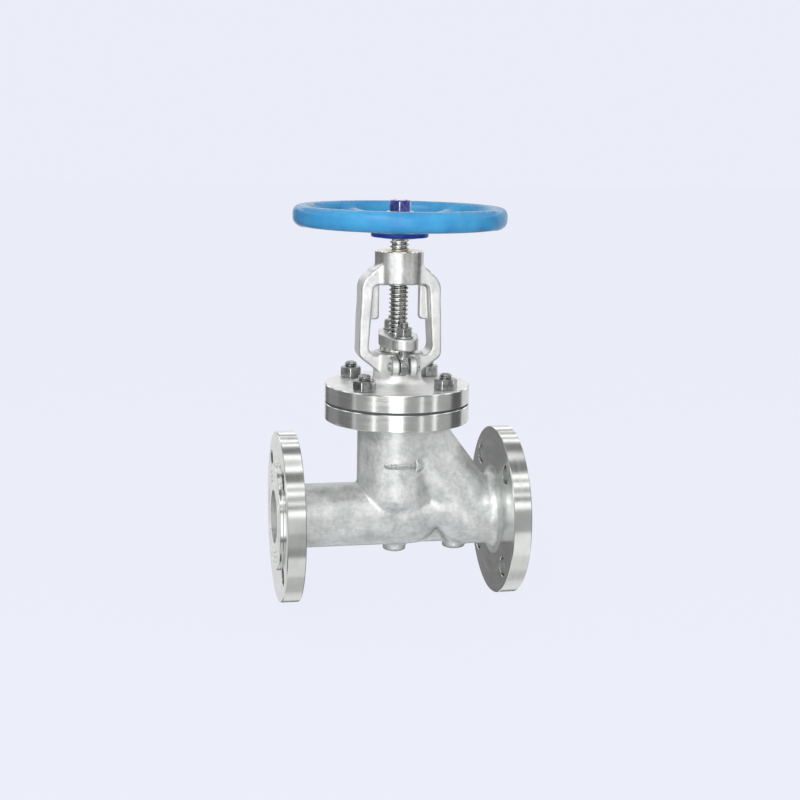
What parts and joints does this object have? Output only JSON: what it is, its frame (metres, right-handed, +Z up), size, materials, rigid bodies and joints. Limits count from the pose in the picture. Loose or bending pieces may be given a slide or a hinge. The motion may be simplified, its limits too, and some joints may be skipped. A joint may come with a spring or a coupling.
{
  "type": "globe valve",
  "caption": "Flanged cast steel globe valve with a bolted bonnet, outside-screw yoke, packed gland and a spoked handwheel on a rising stem.",
  "frame": {"origin": "where the pipe axis crosses the stem axis", "axes": "+X along the pipe from inlet to outlet, +Z up the stem to the handwheel, +Y across"},
  "size_m": [0.23, 0.196, 0.3746],
  "materials": {
    "cast_steel": "bead-blasted cast stainless steel",
    "machined_steel": "turned stainless steel",
    "fastener_steel": "bright stainless fasteners",
    "stem_nut_brass": "machined brass",
    "graphite": "compressed graphite, matt",
    "wheel_enamel": "glossy blue enamel on cast iron"
  },
  "bodies": {
    "valve_body": {"body_casting": "cast_steel", "bonnet_yoke": "cast_steel", "bonnet_gasket": "graphite", "bonnet_stud_1": "fastener_steel", "bonnet_stud_2": "fastener_steel", "bonnet_stud_3": "fastener_steel", "bonnet_stud_4": "fastener_steel", "bonnet_nut_1": "fastener_steel", "bonnet_nut_2": "fastener_steel", "bonnet_nut_3": "fastener_steel", "bonnet_nut_4": "fastener_steel", "packing_washer": "machined_steel", "packing_ring_1": "graphite", "packing_ring_2": "graphite", "packing_ring_3": "graphite", "packing_ring_4": "graphite", "eye_bolt_front": "fastener_steel", "eye_bolt_rear": "fastener_steel", "eye_bolt_pin_front": "fastener_steel", "eye_bolt_pin_rear": "fastener_steel", "stem_nut": "stem_nut_brass", "stem_nut_set_screw": "fastener_steel"},
    "disc_assembly": {"disc": "machined_steel", "disc_nut": "machined_steel"},
    "stem_assembly": {"stem": "machined_steel", "handwheel": "wheel_enamel", "handwheel_washer": "fastener_steel", "handwheel_nut": "fastener_steel"},
    "gland": {"gland_flange": "cast_steel", "gland_bush": "machined_steel", "gland_washer_front": "fastener_steel", "gland_washer_rear": "fastener_steel"},
    "front_gland_nut": {"gland_nut_front": "fastener_steel"},
    "rear_gland_nut": {"gland_nut_rear": "fastener_steel"}
  },
  "joints": [
    {"name": "disc_lift", "type": "slide", "parent": "valve_body", "child": "disc_assembly", "axis": [0, 0, 1], "range_m": [0, 0.018]},
    {"name": "handwheel_turn", "type": "hinge", "parent": "disc_assembly", "child": "stem_assembly", "pos_m": [0, 0, 0.2], "axis": [0, 0, 1], "range_deg": [0, 1620]},
    {"name": "gland_lift", "type": "slide", "parent": "valve_body", "child": "gland", "axis": [0, 0, 1], "range_m": [0, 0.005]},
    {"name": "front_gland_nut_turn", "type": "hinge", "parent": "gland", "child": "front_gland_nut", "pos_m": [0, -0.028, 0.177], "axis": [0, 0, 1], "range_deg": [0, 1440]},
    {"name": "rear_gland_nut_turn", "type": "hinge", "parent": "gland", "child": "rear_gland_nut", "pos_m": [0, 0.028, 0.177], "axis": [0, 0, 1], "range_deg": [0, 1440]}
  ],
  "couplings": [
    {"joint": "disc_lift", "follows": "handwheel_turn", "m_per_rad": 0.00063662},
    {"joint": "front_gland_nut_turn", "follows": "gland_lift", "rad_per_m": 5026.5},
    {"joint": "rear_gland_nut_turn", "follows": "gland_lift", "rad_per_m": 5026.5}
  ]
}
